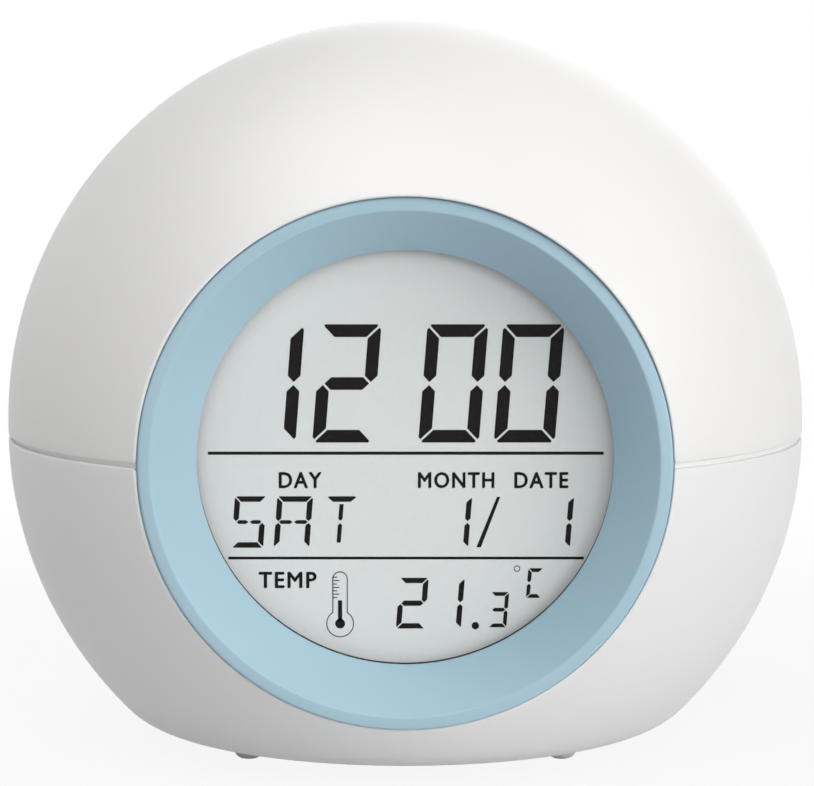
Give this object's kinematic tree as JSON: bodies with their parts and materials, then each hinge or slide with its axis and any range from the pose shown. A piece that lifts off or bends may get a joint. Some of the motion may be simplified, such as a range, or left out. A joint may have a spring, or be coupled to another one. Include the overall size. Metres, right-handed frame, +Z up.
{
  "type": "alarm clock",
  "caption": "Ball-shaped bedside alarm clock with a glowing dome, round recessed digital display, rear keys, sound holes and a battery door under the base.",
  "frame": {"origin": "middle of the outer box, on the surface that the feet stand on", "axes": "+Z up, the display faces -Y, +X to the right of someone who reads it"},
  "size_m": [0.09, 0.0754, 0.0808],
  "materials": {
    "dome": "satin, milky and lets light through",
    "case": "satin moulded white",
    "bezel": "pale grey blue, semi-gloss",
    "lens": "clear acrylic window",
    "foam": "black foam",
    "display": "pale grey-green liquid crystal glass",
    "inner_plastic": "plain white moulding",
    "diffuser": "milky light guide",
    "lamp": "white lamp body",
    "strip": "pink silicone strip",
    "board": "green solder mask",
    "resin": "black resin",
    "can": "drawn metal can",
    "sleeve": "dark sleeve",
    "screw": "zinc-plated steel",
    "magnet": "plated magnet",
    "film": "thin dark film",
    "switch": "black moulding",
    "battery": "plain sleeve",
    "contact": "nickel-plated spring steel",
    "rubber": "soft pale grey pad",
    "lead": "lead insulation",
    "ribbon": "flat cable",
    "key": "soft pale blue key",
    "plunger": "switch plunger",
    "knob": "pale blue knob"
  },
  "bodies": {
    "case": {"backlight_leds": "lamp", "backlight_panel": "diffuser", "battery_leads": "lead", "bezel_ring": "bezel", "board_capacitor": "sleeve", "board_transistor": "resin", "contact_strips": "strip", "controller_blob": "resin", "display_lens": "lens", "display_screws": "screw", "foot_1": "rubber", "foot_2": "rubber", "foot_3": "rubber", "foot_4": "rubber", "front_battery": "battery", "front_contact": "contact", "front_spring": "contact", "glass_guide": "inner_plastic", "joining_contact": "contact", "key_board": "board", "key_board_screws": "screw", "key_plug": "inner_plastic", "key_ribbon": "ribbon", "lcd_glass": "display", "lens_gasket": "foam", "light_board": "board", "light_board_screws": "screw", "light_leads": "lead", "light_plug": "inner_plastic", "lower_shell": "case", "main_board": "board", "night_light_leds": "lamp", "power_plug": "inner_plastic", "quartz_crystal": "can", "rear_battery": "battery", "rear_contact": "contact", "rear_panel": "case", "rear_spring": "contact", "slide_switch": "can", "speaker_basket": "screw", "speaker_cone": "film", "speaker_gasket": "foam", "speaker_leads": "lead", "speaker_magnet": "magnet", "tact_switches": "switch", "tap_sensor": "can", "temperature_sensor": "resin", "upper_shell": "dome"},
    "mode_key": {"mode_key": "key", "mode_plunger": "plunger"},
    "alarm_key": {"alarm_key": "key", "alarm_plunger": "plunger"},
    "up_key": {"up_key": "key", "up_plunger": "plunger"},
    "down_key": {"down_key": "key", "down_plunger": "plunger"},
    "switch_knob": {"light_switch_knob": "knob"},
    "battery_door": {"battery_door": "case"}
  },
  "joints": [
    {"name": "mode_key_press", "type": "slide", "parent": "case", "child": "mode_key", "axis": [0, -1, 0], "range_m": [0, 0.0005], "stiffness_N_per_m": 400, "springref_m": -0.0005},
    {"name": "alarm_key_press", "type": "slide", "parent": "case", "child": "alarm_key", "axis": [0, -1, 0], "range_m": [0, 0.0005], "stiffness_N_per_m": 400, "springref_m": -0.0005},
    {"name": "up_key_press", "type": "slide", "parent": "case", "child": "up_key", "axis": [0, -1, 0], "range_m": [0, 0.0005], "stiffness_N_per_m": 400, "springref_m": -0.0005},
    {"name": "down_key_press", "type": "slide", "parent": "case", "child": "down_key", "axis": [0, -1, 0], "range_m": [0, 0.0005], "stiffness_N_per_m": 400, "springref_m": -0.0005},
    {"name": "light_switch_slide", "type": "slide", "parent": "case", "child": "switch_knob", "axis": [1, 0, 0], "range_m": [0, 0.003]},
    {"name": "battery_door_hinge", "type": "hinge", "parent": "case", "child": "battery_door", "pos_m": [-0.02355, -0.00115, 0.0023], "axis": [0, 1, 0], "range_deg": [0, 90]}
  ]
}
